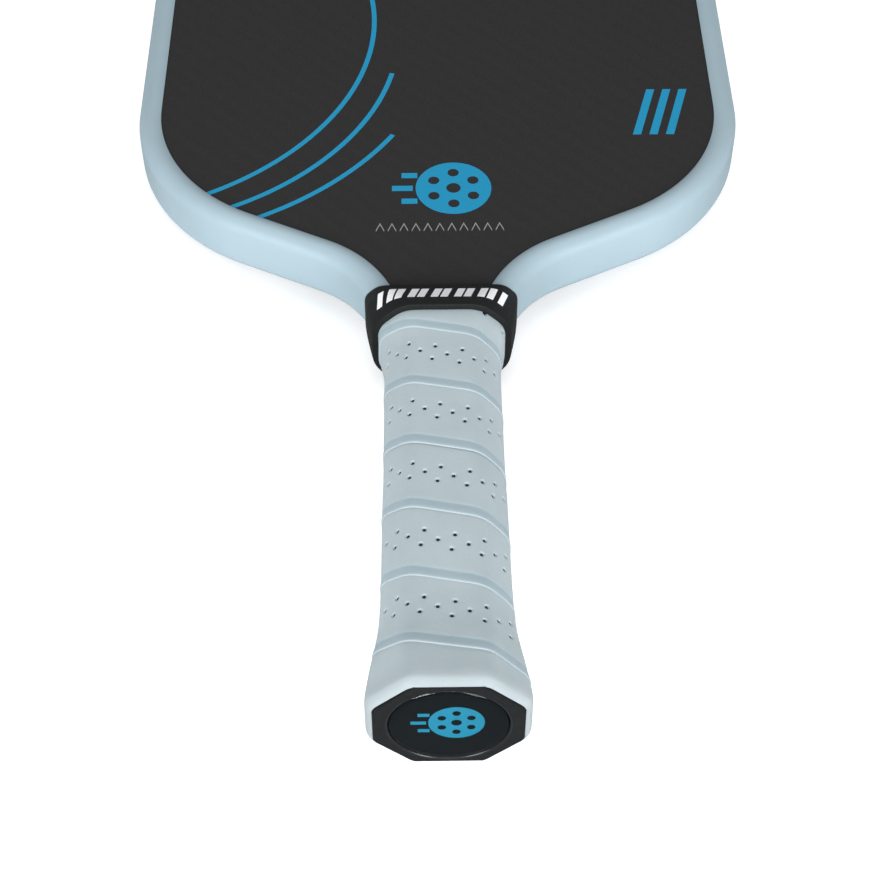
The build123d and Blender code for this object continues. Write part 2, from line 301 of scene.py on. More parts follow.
def ball(centre, radius):
    """A ball with one hole in the middle and six round it."""
    outlines = [circle(centre, radius, 96), circle(centre, 0.19 * radius, 32)]
    for i in range(6):
        around = radians(60 * i + 30)
        hole = (centre[0] + 0.6 * radius * cos(around), centre[1] + 0.6 * radius * sin(around))
        outlines.append(circle(hole, 0.15 * radius, 32))
    return outlines


def flight_lines(centre, radius):
    """Three slanted lines that trail behind the ball."""
    height = 0.2 * radius
    lines = []
    for step, length in ((-1, 0.42), (0, 0.55), (1, 0.42)):
        y = centre[1] + step * 0.5 * radius - height / 2
        end = centre[0] - sqrt(1.16 * radius**2 - (step * 0.5 * radius) ** 2)
        lines.append(slanted_bar(end - length * radius, y, length * radius, height, 0.0))
    return lines


def ink(name, colour, roughness):
    """Screen ink that lets the cloth's grit through."""
    made = finish(name, colour, roughness, Specular_IOR_Level=0.3)
    grain = speckle(made, 2600, 6.0, 0.7)
    thin = tuple(0.86 * c for c in colour[:3]) + (1.0,)
    colour_by(made, between(made, grain, thin, colour, 0.35, 0.65))
    relief(made, grain, 0.03 * mm)
    return made


face_ink = ink("blue_ink", paint(24, 145, 189), 0.5)
pale_ink = ink("silver_ink", paint(150, 152, 154), 0.5)
chevrons = [
    chevron(
        i * CHEVRON_PITCH, CHEVRON_ROW - CHEVRON_HEIGHT / 2, CHEVRON_WIDTH, CHEVRON_HEIGHT, CHEVRON_STROKE
    )
    for i in range(-5, 6)
]
bars = [
    slanted_bar(BAR_GROUP[0] + i * BAR_PITCH, BAR_GROUP[1], BAR_WIDTH, BAR_HEIGHT, BAR_SLANT)
    for i in range(-1, 2)
]
for side in ("front", "back"):
    half_turn = 0 if side == "front" else pi
    turn = Matrix.Rotation(half_turn, 4, "Y") @ Matrix.Translation((0, 0, FACE))
    arcs = [arc_stripe(c, r, ARC_WIDTH, start, end) for c, r, start, end in ARCS]
    marks = [
        printed(side + "_arcs", arcs, face_ink, turn),
        printed(side + "_ball", ball(BALL_CENTRE, BALL_RADIUS), face_ink, turn),
        printed(side + "_flight_lines", flight_lines(BALL_CENTRE, BALL_RADIUS), face_ink, turn),
        printed(side + "_chevrons", chevrons, pale_ink, turn),
        printed(side + "_bars", bars, face_ink, turn),
    ]

# ---------------------------------------------------------------------------------------------
# Edge guard. A U-channel moulded in satin plastic and pressed over the rim, its two lips
# rounded down onto the faces. Its ends meet the handle and are hidden by the collar.
GUARD_WALL = 2.0 * mm
GUARD_REACH = 7.25 * mm
GUARD_ROUND = 4.4 * mm
LIP_ROLL = (  # distance from the lip's edge, drop below the guard's top
    (2.25, 0.06), (1.6, 0.2), (1.0, 0.43), (0.5, 0.72), (0.15, 1.0), (0.0, 1.16),
)
LIP_UNDERCUT = 0.02 * mm
THROAT_CENTRE = Vector((50.95 * mm, 129.3 * mm, 0))
THROAT_RADIUS = 32.25 * mm
FLARE = radians(26.5)
SHOULDER_RADIUS = 61.7 * mm
CORNER_RADIUS = 60.0 * mm
CROWN_RADIUS = 300.0 * mm


def sweep_round(bm, ring, centre, turn, steps):
    """Carries the open end of a tube round an arc; turn is in radians, + anticlockwise."""
    swept = bmesh.ops.spin(
        bm, geom=ring, cent=centre, axis=(0, 0, 1), angle=turn, steps=steps, use_duplicate=False
    )
    return swept["geom_last"]


def sweep_straight(bm, ring, run, steps):
    """Carries the open end of a tube along a straight run."""
    swept = bmesh.ops.spin(bm, geom=ring, dvec=run / steps, axis=(0, 0, 1), angle=0, steps=steps)
    return swept["geom_last"]


def guard_profile():
    """The channel's section from its outer wall inwards: (inset, height)."""
    face, top = FACE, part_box("edge_guard")[1].z
    bend = [GUARD_ROUND * (1 - cos(radians(a))) for a in range(0, 91, 10)]
    rise = [GUARD_ROUND * (1 - sin(radians(a))) for a in range(0, 91, 10)]
    upper = [(0, 0)] + [(inset, top - drop) for inset, drop in zip(bend, rise)]
    upper += [(GUARD_REACH - back * mm, top - drop * mm) for back, drop in LIP_ROLL]
    upper += [
        (GUARD_REACH - LIP_UNDERCUT, face),
        (GUARD_WALL, face),
        (GUARD_WALL, 0),
    ]
    lower = [(inset, -height) for inset, height in reversed(upper[1:-1])]
    return upper + lower


def edge_guard(made):
    """The channel swept up the right half of the rim, then mirrored."""
    low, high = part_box("edge_guard")
    side, tip = high.x, high.y
    above = low.y - THROAT_CENTRE.y
    cut = atan2(above, sqrt(THROAT_RADIUS**2 - above**2))
    heading = Vector((sin(cut), cos(cut), 0))
    inward = Vector((-heading.y, heading.x, 0))
    start = THROAT_CENTRE - THROAT_RADIUS * Vector((cos(cut), -sin(cut), 0))
    bm = bmesh.new()
    verts = [bm.verts.new(start + u * inward + Vector((0, 0, z))) for u, z in guard_profile()]
    for first, second in zip(verts, verts[1:] + verts[:1]):
        bm.edges.new((first, second))
    ring = bm.verts[:] + bm.edges[:]
    end_ring = bm.edges[:]

    shoulder_x = side - SHOULDER_RADIUS
    flare_start = THROAT_CENTRE + THROAT_RADIUS * Vector((-sin(FLARE), cos(FLARE), 0))
    flare_run = (shoulder_x + SHOULDER_RADIUS * sin(FLARE) - flare_start.x) / cos(FLARE)
    run = flare_run * Vector((cos(FLARE), sin(FLARE), 0))
    flare_end = flare_start + run
    shoulder = Vector((shoulder_x, flare_end.y + SHOULDER_RADIUS * cos(FLARE), 0))
    crown_y = tip - CROWN_RADIUS
    corner_x = side - CORNER_RADIUS
    corner_y = crown_y + sqrt((CROWN_RADIUS - CORNER_RADIUS) ** 2 - corner_x**2)
    lean = atan2(corner_x, corner_y - crown_y)

    ring = sweep_round(bm, ring, THROAT_CENTRE, -(pi / 2 - FLARE - cut), 20)
    ring = sweep_straight(bm, ring, run, 5)
    ring = sweep_round(bm, ring, shoulder, pi / 2 - FLARE, 28)
    ring = sweep_straight(bm, ring, Vector((0, corner_y - shoulder.y, 0)), 14)
    ring = sweep_round(bm, ring, Vector((corner_x, corner_y, 0)), pi / 2 - lean, 30)
    ring = sweep_round(bm, ring, Vector((0, crown_y, 0)), lean, 8)
    for vert in ring:
        if isinstance(vert, bmesh.types.BMVert):
            vert.co.x = 0
    bmesh.ops.contextual_create(bm, geom=end_ring)
    bmesh.ops.mirror(bm, geom=bm.verts[:] + bm.edges[:] + bm.faces[:], axis="X", merge_dist=1e-6)
    bmesh.ops.recalc_face_normals(bm, faces=bm.faces)
    guard = piece("edge_guard_moulding", bm, made, smooth=True)
    rounding = guard.modifiers.new("rounding", "SUBSURF")
    rounding.levels = rounding.render_levels = 1
    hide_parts("edge_guard")


guard_plastic = finish("guard_plastic", paint(154, 175, 185), 0.42, Coat_Weight=0.08)
colour_by(
    guard_plastic,
    between(guard_plastic, speckle(guard_plastic, 60), paint(152, 173, 183), paint(156, 177, 187)),
)
guard_grain = relief(guard_plastic, speckle(guard_plastic, 3200, 3.0), 0.015 * mm)
relief(guard_plastic, speckle(guard_plastic, 260), 0.04 * mm, guard_grain)
roughness_by(guard_plastic, speckle(guard_plastic, 300), 0.38, 0.47)
edge_guard(guard_plastic)

# ---------------------------------------------------------------------------------------------
# Pallets and staples. Two moulded half shells are glued round the tang to make the octagonal
# handle, and two steel staples hold the butt cap on them. The grip hides them all.
pallet_plastic = finish("pallet_plastic", paint(58, 60, 62), 0.7)
pallet_grain = speckle(pallet_plastic, 700)
pallet_tone = between(pallet_plastic, pallet_grain, paint(48, 50, 52), paint(66, 68, 70))
colour_by(pallet_plastic, pallet_tone)
relief(pallet_plastic, pallet_grain, 0.05 * mm)
dress("front_pallet", pallet_plastic)
dress("back_pallet", pallet_plastic)

staple_wire = finish("staple_wire", paint(196, 196, 192), 0.3, Metallic=1.0)
drawn = threads(staple_wire, "Z", 0.12 * mm)
wire_tone = between(staple_wire, drawn, paint(176, 176, 172), paint(206, 206, 202), 0.0, 1.0)
colour_by(staple_wire, wire_tone)
relief(staple_wire, drawn, 0.01 * mm)
dress("cap_staples", staple_wire)

# ---------------------------------------------------------------------------------------------
# Butt cap. An octagonal end plate with a flared skirt, moulded in black plastic with a fine
# spark finish. A round recess in its end face holds the badge.
AROUND = 96  # points round the handle
CAP_FACE = (18.95 * mm, 16.65 * mm, 9.9 * mm, 1.3 * mm)  # half width, half thickness, bevel, corner
CAP_CREST = (19.0 * mm, 16.7 * mm, 9.6 * mm, 2.0 * mm)
CAP_FLARE = (17.3 * mm, 14.9 * mm, 8.0 * mm, 2.5 * mm)
CAP_SKIRT_END = (15.5 * mm, 13.4 * mm, 6.5 * mm, 2.5 * mm)
CAP_FACE_Y = 0.75 * mm
CAP_CREST_Y = 4.0 * mm
CAP_FLARE_Y = 16.0 * mm
CAP_FLOOR_Y = 3.4 * mm  # inner side of the end plate
CAP_SKIRT_WALL = 1.1 * mm
CAP_BEVEL = 0.45 * mm
RECESS_RADIUS = 15.15 * mm
RECESS_CLEARANCE = 0.1 * mm
RECESS_DEPTH = 1.6 * mm
RECESS_BEVEL = 0.6 * mm


def grown(size, by):
    """An octagon's half width, half thickness, bevel leg and corner radius, offset outwards."""
    half_width, half_height, leg, radius = size
    return (half_width + by, half_height + by, leg + by * (2 - sqrt(2)), radius + by)


def octagon_runs(size):
    """The flats and rounded corners of an octagon: (x, z, heading, length, corner radius).
    They start at the middle of the front facet and go towards -X."""
    half_width, half_height, leg, radius = size
    trim = 2 * radius * tan(pi / 8)
    top = 2 * (half_width - leg) - trim
    slope = leg * sqrt(2) - trim
    side = 2 * (half_height - leg) - trim
    x, z, heading = 0.0, half_height, pi
    runs = []
    for flat in (top / 2, slope, side, slope, top, slope, side, slope, top / 2):
        runs.append((x, z, heading, flat, 0.0))
        x += flat * cos(heading)
        z += flat * sin(heading)
        if len(runs) < 17:
            runs.append((x, z, heading, radius * pi / 4, radius))
            x += radius * (sin(heading + pi / 4) - sin(heading))
            z -= radius * (cos(heading + pi / 4) - cos(heading))
            heading += pi / 4
    return runs


def octagon_place(runs, share):
    """Which flat or corner lies at a share of the way round, and how far along it."""
    left = (share % 1.0) * sum(run[3] for run in runs)
    for index, run in enumerate(runs):
        if left <= run[3]:
            return index, left / run[3]
        left -= run[3]
    return len(runs) - 1, 1.0


def octagon_point(runs, index, along):
    """The point (x, z) on one flat or corner."""
    x, z, heading, length, radius = runs[index]
    if radius == 0.0:
        return x + along * length * cos(heading), z + along * length * sin(heading)
    turned = heading + along * pi / 4
    return x + radius * (sin(turned) - sin(heading)), z - radius * (cos(turned) - cos(heading))


def octagon_loop(bm, y, size):
    """A closed loop of edges round the handle at y."""
    runs = octagon_runs(size)
    loop = bmesh.ops.create_circle(bm, segments=AROUND, radius=1.0)["verts"]
    for i, vert in enumerate(loop):
        x, z = octagon_point(runs, *octagon_place(runs, i / AROUND))
        vert.co = (x, y, z)
    return loop


def round_loop(bm, y, radius, size):
    """A round loop whose points face those of an octagon of that size."""
    loop = octagon_loop(bm, y, size)
    for vert in loop:
        reach = radius / hypot(vert.co.x, vert.co.z)
        vert.co = (vert.co.x * reach, y, vert.co.z * reach)
    return loop


def loop_edges(loop):
    """The edges between the points of one loop."""
    inside = set(loop)
    return list({e for v in loop for e in v.link_edges if e.other_vert(v) in inside})


def bridge(bm, loops, closed=False):
    """Joins loops in turn into one skin."""
    rows = [loop_edges(loop) for loop in loops]
    following = rows[1:] + rows[:1] if closed else rows[1:]
    for row, next_row in zip(rows, following):
        bmesh.ops.bridge_loops(bm, edges=row + next_row)


def close_end(bm, loop):
    """Fills a loop with one face."""
    bmesh.ops.contextual_create(bm, geom=loop_edges(loop))


def butt_cap(made, polished):
    """The cap from its socket out over the skirt and in to the recess, whose rim is polished."""
    bm = bmesh.new()
    low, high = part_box("butt_cap")
    socket = grown(CAP_SKIRT_END, -CAP_SKIRT_WALL)
    loops = [
        octagon_loop(bm, CAP_FLOOR_Y, socket),
        octagon_loop(bm, high.y, socket),
        octagon_loop(bm, high.y, CAP_SKIRT_END),
        octagon_loop(bm, CAP_FLARE_Y, CAP_FLARE),
        octagon_loop(bm, CAP_CREST_Y, CAP_CREST),
        octagon_loop(bm, CAP_FACE_Y, CAP_FACE),
        octagon_loop(bm, CAP_BEVEL, CAP_FACE),
        octagon_loop(bm, 0.3 * CAP_BEVEL, grown(CAP_FACE, -0.3 * CAP_BEVEL)),
        octagon_loop(bm, 0, grown(CAP_FACE, -CAP_BEVEL)),
    ]
    for bend in range(0, 91, 15):
        depth = RECESS_BEVEL * (1 - cos(radians(bend)))
        radius = RECESS_RADIUS + RECESS_BEVEL * (1 - sin(radians(bend)))
        loops.append(round_loop(bm, depth, radius, CAP_FACE))
    loops.append(round_loop(bm, RECESS_DEPTH, RECESS_RADIUS, CAP_FACE))
    bridge(bm, loops)
    close_end(bm, loops[0])
    close_end(bm, loops[-1])
    bmesh.ops.recalc_face_normals(bm, faces=bm.faces)
    for face in bm.faces:
        x, y, z = face.calc_center_median()
        beyond = hypot(x, z) - RECESS_RADIUS
        if y < RECESS_BEVEL and -RECESS_CLEARANCE < beyond < RECESS_BEVEL:
            face.material_index = 1
    cap = piece("butt_cap_moulding", bm, made, polished)
    for polygon in cap.data.polygons:
        polygon.use_smooth = polygon.material_index == 1
    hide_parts("butt_cap")


cap_plastic = finish("cap_plastic", paint(26, 28, 29), 0.42, Specular_IOR_Level=0.2)
cap_tone = between(cap_plastic, speckle(cap_plastic, 500), paint(24, 26, 27), paint(29, 31, 32))
colour_by(cap_plastic, cap_tone)
relief(cap_plastic, cells(cap_plastic, 2600), 0.02 * mm)
roughness_by(cap_plastic, speckle(cap_plastic, 900), 0.36, 0.48)

cap_polish = finish("cap_polish", paint(30, 33, 35), 0.22)
polish_haze = speckle(cap_polish, 700)
colour_by(cap_polish, between(cap_polish, polish_haze, paint(28, 31, 33), paint(33, 36, 38)))
relief(cap_polish, polish_haze, 0.01 * mm)
butt_cap(cap_plastic, cap_polish)

# ---------------------------------------------------------------------------------------------
# Badge. A gloss black printed disc with a ball emblem, under a poured dome of clear resin
# whose rim rolls over just inside the recess.
BADGE_RADIUS = RECESS_RADIUS - RECESS_CLEARANCE
DISC_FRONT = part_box("badge_disc")[0].y
DOME_CROWN = 0.02 * mm  # below the cap's end face
DOME_RISE = 0.08 * mm
DOME_ROLL = 0.9 * mm
DOME_ROLL_END = 64  # degrees
GLUE = 0.04 * mm


def turned_part(bm, outline):
    """Turns a (radius, y) outline about the handle's axis."""
    verts = [bm.verts.new((radius, y, 0)) for radius, y in outline]
    edges = [bm.edges.new(pair) for pair in zip(verts, verts[1:])]
    bmesh.ops.spin(
        bm, geom=verts + edges, cent=(0, 0, 0), axis=(0, 1, 0), angle=2 * pi, steps=AROUND,
        use_merge=True,
    )
    bmesh.ops.remove_doubles(bm, verts=bm.verts, dist=1e-7)
    bmesh.ops.recalc_face_normals(bm, faces=bm.faces)


def badge_disc(made):
    bm = bmesh.new()
    back = RECESS_DEPTH - 0.01 * mm
    edge = BADGE_RADIUS - 0.02 * mm
    turned_part(bm, [(0, DISC_FRONT), (edge, DISC_FRONT), (edge, back), (0, back)])
    disc = piece("badge_printed_disc", bm, made)
    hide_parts("badge_disc")


def badge_dome(made):
    bm = bmesh.new()
    base = DISC_FRONT - GLUE
    shoulder = BADGE_RADIUS - 0.03 * mm - DOME_ROLL * sin(radians(DOME_ROLL_END))
    outline = [(shoulder * i / 12, DOME_CROWN + DOME_RISE * (i / 12) ** 2) for i in range(12)]
    for bend in range(0, DOME_ROLL_END + 1, 8):
        radius = shoulder + DOME_ROLL * sin(radians(bend))
        outline.append((radius, DOME_CROWN + DOME_RISE + DOME_ROLL * (1 - cos(radians(bend)))))
    outline += [(outline[-1][0], base), (0, base)]
    turned_part(bm, outline)
    dome = piece("badge_resin_dome", bm, made, smooth=True)
    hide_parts("badge_dome")


def clear_resin():
    """A thin clear layer: what is under it shows, and its surface shines."""
    made = finish("clear_resin", (1, 1, 1, 1), 0.04)
    tree = made.node_tree
    wave = speckle(made, 120, 1.0)
    bumped = relief(made, wave, 0.004 * mm)
    shine = add_node(made, "BsdfGlossy", {"Roughness": 0.06, "Normal": bumped})
    see = add_node(made, "BsdfTransparent", {})
    edge = add_node(made, "Fresnel", {"IOR": 1.5, "Normal": bumped}).outputs[0]
    outer = reckon(made, "SUBTRACT", 1.0, add_node(made, "NewGeometry", {}).outputs["Backfacing"])
    glare = reckon(made, "MULTIPLY", edge, outer)
    mixed = add_node(made, "MixShader", {0: glare, 1: see.outputs[0], 2: shine.outputs[0]})
    tree.links.new(mixed.outputs[0], tree.nodes["Material Output"].inputs["Surface"])
    tree.nodes.remove(tree.nodes["Principled BSDF"])
    return made


badge_black = finish("badge_black", paint(6, 14, 18), 0.35, Specular_IOR_Level=0.0)
badge_tone = between(badge_black, speckle(badge_black, 900), paint(5, 13, 17), paint(7, 15, 19))
colour_by(badge_black, badge_tone)
badge_ink = ink("badge_ink", paint(4, 124, 154), 0.4)
badge_disc(badge_black)
badge_turn = Matrix.Translation((0, DISC_FRONT, 0)) @ Matrix.Rotation(pi / 2, 4, "X")
EMBLEM_CENTRE = (1.9 * mm, 0)
EMBLEM_RADIUS = 7.0 * mm
for name, outlines in (
    ("badge_ball", ball(EMBLEM_CENTRE, EMBLEM_RADIUS)),
    ("badge_flight_lines", flight_lines(EMBLEM_CENTRE, EMBLEM_RADIUS)),
):
    printed(name, outlines, badge_ink, badge_turn)
badge_dome(clear_resin())

# ---------------------------------------------------------------------------------------------
# Grip. A perforated polyurethane tape with a dark felt backing, wound up the handle from the
# butt. Its start is cut to a long taper that follows the cap's edge, and each turn laps the
# thinned upper edge of the turn below, which raises a band along its own lower edge.
TAPE_WIDTH = 25.0 * mm
TAPE_THICKNESS = 1.85 * mm
PITCH = 21.62 * mm
GIRTH = 107.0 * mm
FIRST_SEAM = 12.28 * mm  # where the first seam crosses the middle of the front facet
SLANT = atan(PITCH / GIRTH)
HAND_LAY = (  # turn, then how far it lies from even winding, up the handle and round it
    (0, 0.0, -1.2), (1, -0.2, -2.1), (2, 0.25, 0.9), (3, 0.95, 0.3), (4, 0.7, 1.0), (5, 0.1, 1.0),
    (6, -0.5, 1.0),
)
STEP = 1.305 * mm  # between cuts across the strip
FIRST_STEP = -0.36 * mm  # the cut nearest the first seam's middle
HOLE_STEPS = 6  # steps from hole to hole in one row; each hole takes two of them
HOLES_FROM = -0.55 * GIRTH
HOLE_ROWS = (10.1 * mm, 12.5 * mm, 14.9 * mm)
HOLE_RINGS = ((0.98 * mm, 0.0), (0.82 * mm, 0.08 * mm), (0.76 * mm, 0.5 * mm))  # radius, depth
TAPER_TURNS = 1.62
TAPER_BLEND = 3 * mm
TAPER_MIDDLE = 14 * mm
TOTAL_TURNS = 5.6
CAP_EDGE_Y = 0.6 * mm
CREST_ROUND = 3.86 * mm
TAPE_TOP = (  # distance from the lower edge, height: the surface that shows
    (0.0, 1.62), (0.08, 1.86), (0.32, 2.03), (0.7, 2.06), (1.7, 1.97), (2.8, 1.82), (3.2, 1.78),
    (3.4, 1.86), (4.2, 1.87), (6.2, 1.86), (8.9, 1.86), (11.3, 1.86), (13.7, 1.86), (16.1, 1.86),
    (17.8, 1.86), (19.8, 1.86), (21.2, 1.85), (21.65, 1.78), (22.0, 1.52), (23.2, 0.95), (25.0, 0.35),
)
TAPE_BOTTOM = ((25.0, 0.0), (12.0, 0.0), (4.9, 0.0), (0.5, 1.42))
BAND_START = 0.35 * mm
BAND_END = 3.3 * mm  # upper side of the raised band, from the tape's lower edge
# How far from the butt the grip's painted shade reaches before it fades out.
PAINTED_SHADE_END = 9 * mm
GRIP_FORM = (  # distance from the butt, then the octagon over the tape as in CAP_FACE
    (4.0, 20.95, 18.6, 10.6, 4.5), (12.0, 19.75, 17.35, 9.2, 6.0), (17.5, 18.85, 16.5, 8.6, 7.0),
    (21.5, 18.05, 15.75, 8.1, 7.5), (27.0, 17.4, 15.2, 7.6, 8.0), (33.0, 17.1, 14.95, 7.3, 8.0),
    (42.0, 16.9, 14.8, 7.1, 8.0), (66.0, 16.75, 14.7, 7.1, 8.0), (75.0, 16.5, 14.6, 7.0, 8.0),
    (115.0, 16.45, 14.6, 7.1, 8.0), (121.0, 16.8, 14.75, 7.3, 8.3), (128.6, 18.55, 15.45, 7.6, 8.8),
    (132.0, 18.6, 14.2, 7.0, 8.0),
)


def along(table, at):
    """Reads a table of (place, value, ...) rows between its rows."""
    if at <= table[0][0]:
        return table[0][1:]
    for low, high in zip(table, table[1:]):
        if at <= high[0]:
            part = (at - low[0]) / (high[0] - low[0])
            return tuple(a + part * (b - a) for a, b in zip(low[1:], high[1:]))
    return table[-1][1:]


def grip_outside(y):
    """The octagon over the tape at y; it rolls in over the butt's edge."""
    near = [along(GRIP_FORM, y / mm + d) for d in (-3.0, -1.5, 0.0, 1.5, 3.0)]
    size = tuple(mm * sum(values) / len(near) for values in zip(*near))
    past = min(max(CAP_CREST_Y - y, 0.0), 0.999 * CREST_ROUND)
    return grown(size, sqrt(CREST_ROUND**2 - past**2) - CREST_ROUND)


def under_grip(y):
    """The octagon that the tape lies on at y."""
    outside = grip_outside(max(y, CAP_CREST_Y))
    bare = grown(outside, -TAPE_THICKNESS)
    part = min(max((y - CAP_EDGE_Y) / (CAP_CREST_Y - CAP_EDGE_Y), 0.0), 1.0)
    return tuple(a + part * (b - a) for a, b in zip(CAP_FACE, bare))


def wrap_vert(vert, girth, under, outside, full_height):
    """Lays one point of a flat strip (way round, y, height) on the handle."""
    way, y, height = vert.co
    sizes = under(y), outside(y)
    index, part = octagon_place(octagon_runs(sizes[1]), way / girth)
    level = height / full_height
    size = tuple(a + level * (b - a) for a, b in zip(*sizes))
    x, z = octagon_point(octagon_runs(size), index, part)
    vert.co = (x, y, z)


def wound(u):
    """How far round the handle a point of the tape's lower edge lies."""
    even = u * cos(SLANT)
    return even + mm * along(HAND_LAY, even / GIRTH)[1]


def shape_taper(vert, under):
    """Cuts the tape's start to the line of the cap's edge, with no raised band there."""
    u, v, height = vert.co
    cut = (CAP_EDGE_Y - FIRST_SEAM - wound(u) * tan(SLANT)) / cos(SLANT)
    if cut <= 0:
        return
    v = cut + v * (TAPE_WIDTH - cut) / TAPE_WIDTH
    blend = min(cut / TAPER_BLEND, 1.0)
    tapered = TAPE_THICKNESS
    if under:
        tapered = 0.0
    elif v > TAPER_MIDDLE:
        tapered = mm * along(TAPE_TOP, v / mm)[0]
    vert.co = (u, v, height + blend * (tapered - height))


def punch_holes(bm):
    """Three staggered rows of punched holes with rolled rims."""
    sites = []
    for face in bm.faces:
        u, v, height = face.calc_center_median()
        if height < 0.97 * TAPE_THICKNESS or u < HOLES_FROM:
            continue
        for number, row in enumerate(HOLE_ROWS):
            stagger = HOLE_STEPS // 2 * (number % 2)
            place = (floor((u - FIRST_STEP) / STEP) - stagger) % HOLE_STEPS
            if abs(v - row) < 0.1 * mm and place in (1, 2):
                sites.append(face)
    inside = set(sites)
    shared = [e for e in bm.edges if len(e.link_faces) == 2 and set(e.link_faces) <= inside]
    bmesh.ops.dissolve_edges(bm, edges=shared, use_verts=False)
    holes = [face for face in bm.faces if len(face.verts) == 6]
    for reach, sink in HOLE_RINGS:
        bmesh.ops.inset_individual(bm, faces=holes, thickness=0.1 * mm, use_even_offset=True)
        for face in holes:
            centre = face.calc_center_bounds()
            for vert in face.verts:
                way = degrees(atan2(vert.co.y - centre.y, vert.co.x - centre.x))
                way = radians(round((way - 30) / 60) * 60 + 30)
                height = TAPE_THICKNESS - sink
                vert.co = (centre.x + reach * cos(way), centre.y + reach * sin(way), height)
    for face in holes:
        face.material_index = 1
    # Faces of the raised band take the darker band material, which is painted shade for the band's tilt
    # away from the front lamps.
    for face in bm.faces:
        u, v, height = face.calc_center_median()
        whole = FIRST_SEAM + wound(u) * tan(SLANT) > CAP_EDGE_Y
        if whole and BAND_START < v < BAND_END and height > 0.9 * TAPE_THICKNESS:
            face.material_index = 2


def grip_tape(tape, felt, band):
    """The strip swept flat, punched, cut to its taper, wound and trimmed under the collar."""
    section = [(v * mm, h * mm) for v, h in TAPE_TOP + TAPE_BOTTOM]
    steps = int((TAPER_TURNS + TOTAL_TURNS) * GIRTH / cos(SLANT) / STEP)
    start = FIRST_STEP - int(TAPER_TURNS * GIRTH / cos(SLANT) / STEP) * STEP
    bm = bmesh.new()
    ring = bm.faces.new([bm.verts.new((start, v, h)) for v, h in section])
    geometry = bm.verts[:] + bm.edges[:] + [ring]
    bmesh.ops.spin(bm, geom=geometry, dvec=(STEP, 0, 0), axis=(0, 0, 1), angle=0, steps=steps)
    bmesh.ops.recalc_face_normals(bm, faces=bm.faces)
    punch_holes(bm)
    lower = {(v, h) for v, h in TAPE_BOTTOM}
    for vert in bm.verts:
        shape_taper(vert, (round(vert.co.y / mm, 2), round(vert.co.z / mm, 2)) in lower)
        u, v, height = vert.co
        run = wound(u)
        raised = mm * along(HAND_LAY, run / GIRTH)[0]
        y = FIRST_SEAM + raised + run * tan(SLANT) + v * cos(SLANT)
        vert.co = (run - v * sin(SLANT), y, height)
        wrap_vert(vert, GIRTH, under_grip, grip_outside, TAPE_THICKNESS)
    draft = piece("grip_tape_wound", bm, tape, felt, band, smooth=True)
    rounding = draft.modifiers.new("rounding", "SUBSURF")
    rounding.levels = rounding.render_levels = 1
    bpy.context.view_layer.update()
    rounded = draft.evaluated_get(bpy.context.evaluated_depsgraph_get())
    smooth = bpy.data.meshes.new_from_object(rounded)
    draft.modifiers.clear()
    draft.data = smooth
    bm = bmesh.new()
    bm.from_mesh(smooth)
    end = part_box("grip_tape")[1].y
    everything = bm.verts[:] + bm.edges[:] + bm.faces[:]
    bmesh.ops.bisect_plane(
        bm, geom=everything, dist=1e-7, plane_co=(0, end, 0), plane_no=(0, 1, 0), clear_outer=True
    )
    bmesh.ops.holes_fill(bm, edges=[e for e in bm.edges if e.is_boundary])
    bmesh.ops.recalc_face_normals(bm, faces=bm.faces)
    bm.to_mesh(smooth)
    bm.free()
    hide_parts("grip_tape")


def tack(name, low, high):
    """Polyurethane with a fine leather grain, darkened towards the butt with painted shade."""
    made = finish(name, high, 0.55)
    plain = between(made, speckle(made, 90, 3.0), low, high)
    up = add_node(made, "SeparateXYZ", {"Vector": place_on(made)}).outputs["Y"]
    # Painted shade: the grip is darkened over its first few millimetres from the butt.
    shade_fade = reckon(made, "DIVIDE", up, PAINTED_SHADE_END)
    shade = between(made, shade_fade, (0.86, 0.835, 0.825, 1.0), (1.0, 1.0, 1.0, 1.0), 0.1, 1.0)
    values = {"Fac": 1.0, "Color1": plain, "Color2": shade}
    colour_by(made, add_node(made, "MixRGB", values, blend_type="MULTIPLY").outputs["Color"])
    grain = relief(made, cells(made, 2300), 0.02 * mm)
    relief(made, speckle(made, 700, 5.0), 0.05 * mm, grain)
    roughness_by(made, speckle(made, 500), 0.5, 0.62)
    return made


grip_tack = tack("grip_tack", paint(168, 182, 187), paint(174, 187, 192))
# The band material is a darker, bluer copy of the grip's: painted shade for the raised band.
band_painted_shade = tack("band_painted_shade", paint(159, 177, 186), paint(164, 182, 190))
grip_felt = finish("grip_felt", paint(40, 44, 48), 0.95)
felt_hair = speckle(grip_felt, 4000, 6.0, 0.8)
colour_by(grip_felt, between(grip_felt, felt_hair, paint(30, 33, 37), paint(52, 56, 60)))
relief(grip_felt, felt_hair, 0.05 * mm)
grip_tape(grip_tack, grip_felt, band_painted_shade)

# ---------------------------------------------------------------------------------------------
# Finishing tape and collar. One turn of thin black tape holds the grip's end down, and a
# moulded rubber band is rolled over it and the guard's ends, its front marked with slanted bars.
COLLAR = (  # y, then the octagon inside as in CAP_FACE, and the wall
    (128.6, 18.7, 15.6, 7.7, 8.8, 1.45),
    (132.4, 19.3, 14.6, 6.9, 7.6, 1.6),
    (138.0, 20.6, 12.4, 5.2, 5.6, 1.4),
    (142.4, 21.5, 10.45, 3.6, 3.9, 0.95),
)
COLLAR_ROLL = 0.42 * mm
COLLAR_GIRTH = 113.0 * mm
MARK_MIDDLE = 135.6 * mm
MARK_HEIGHT = 5.6 * mm
MARK_PITCH = 5.9 * mm
MARK_SLANT = 1.3 * mm
MARK_WIDTH = 1.9 * mm
MARK_COUNT = 12
MARK_PAIRING = 0.25 * mm  # how far each bar is moved to its partner


def collar_inside(y):
    """The octagon that the band is stretched over at y."""
    return tuple(mm * size for size in along(COLLAR, y / mm)[:4])


def collar_outside(y):
    return grown(collar_inside(y), mm * along(COLLAR, y / mm)[4])


